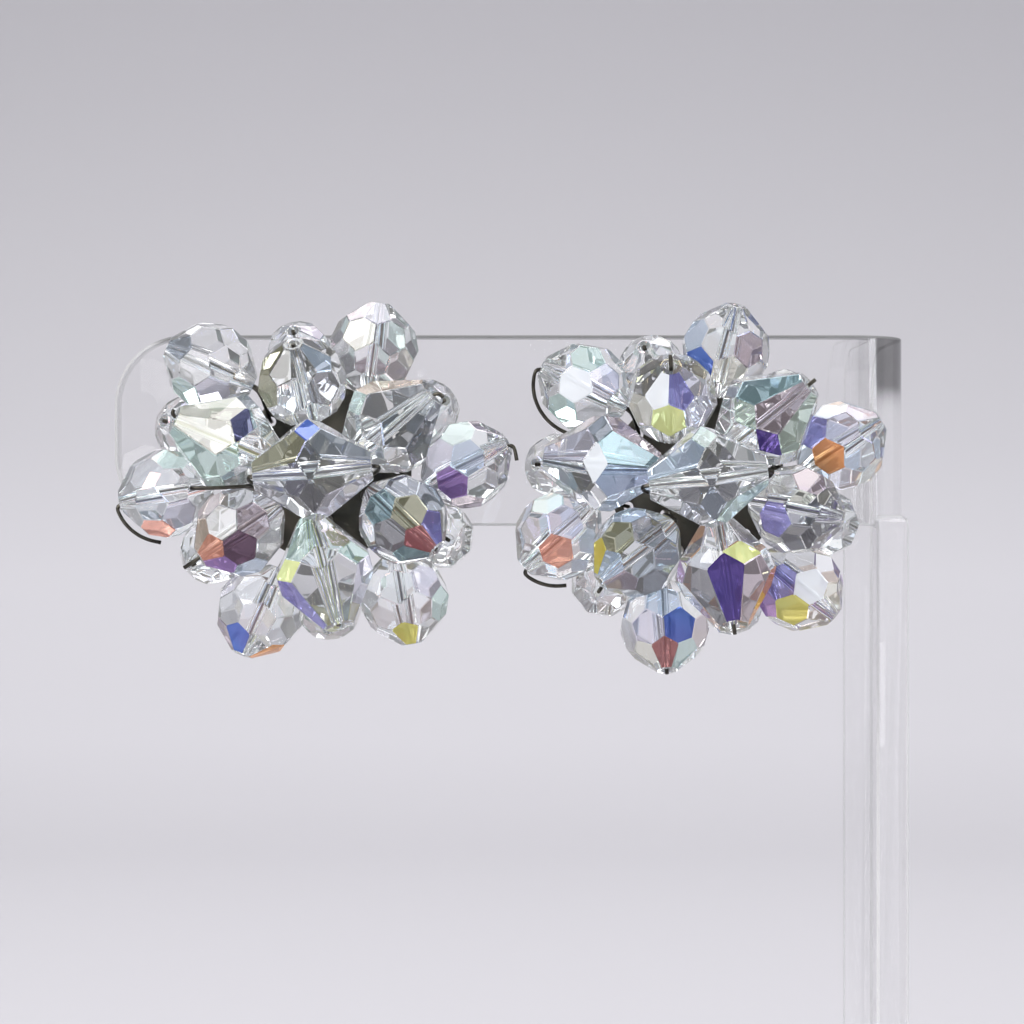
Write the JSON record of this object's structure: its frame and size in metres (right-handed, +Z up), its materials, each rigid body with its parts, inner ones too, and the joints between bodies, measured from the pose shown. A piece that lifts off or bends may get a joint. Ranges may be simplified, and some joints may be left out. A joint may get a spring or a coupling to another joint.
{
  "type": "pair of cluster clip earrings on an earring display stand",
  "caption": "Pair of domed clusters of faceted clear beads wired to pierced plates, clipped on the arm of a clear bent display stand with a flat base.",
  "frame": {"origin": "middle of the underside of the base plate", "axes": "+Z up, -Y out of the front where the bead clusters face, +X along the arm toward the post"},
  "size_m": [0.08, 0.06, 0.1025],
  "materials": {
    "clear_acrylic": "clear polished plastic sheet",
    "cut_crystal": "cut clear crystal with a thin iridescent coat",
    "dark_metal": "dark oxidised metal"
  },
  "bodies": {
    "root": {"stand_upright": "clear_acrylic", "stand_base": "clear_acrylic", "left_clip": "dark_metal", "left_plate": "dark_metal", "left_wires": "dark_metal", "left_centre_bead": "cut_crystal", "left_inner_bead_1": "cut_crystal", "left_inner_bead_2": "cut_crystal", "left_inner_bead_3": "cut_crystal", "left_inner_bead_4": "cut_crystal", "left_inner_bead_5": "cut_crystal", "left_inner_bead_6": "cut_crystal", "left_outer_bead_1": "cut_crystal", "left_outer_bead_2": "cut_crystal", "left_outer_bead_3": "cut_crystal", "left_outer_bead_4": "cut_crystal", "left_outer_bead_5": "cut_crystal", "left_outer_bead_6": "cut_crystal", "left_back_bead_1": "cut_crystal", "left_back_bead_2": "cut_crystal", "left_back_bead_3": "cut_crystal", "left_back_bead_4": "cut_crystal", "left_back_bead_5": "cut_crystal", "left_back_bead_6": "cut_crystal", "right_clip": "dark_metal", "right_plate": "dark_metal", "right_wires": "dark_metal", "right_centre_bead": "cut_crystal", "right_inner_bead_1": "cut_crystal", "right_inner_bead_2": "cut_crystal", "right_inner_bead_3": "cut_crystal", "right_inner_bead_4": "cut_crystal", "right_inner_bead_5": "cut_crystal", "right_inner_bead_6": "cut_crystal", "right_outer_bead_1": "cut_crystal", "right_outer_bead_2": "cut_crystal", "right_outer_bead_3": "cut_crystal", "right_outer_bead_4": "cut_crystal", "right_outer_bead_5": "cut_crystal", "right_outer_bead_6": "cut_crystal", "right_back_bead_1": "cut_crystal", "right_back_bead_2": "cut_crystal", "right_back_bead_3": "cut_crystal", "right_back_bead_4": "cut_crystal", "right_back_bead_5": "cut_crystal", "right_back_bead_6": "cut_crystal"}
  },
  "joints": []
}
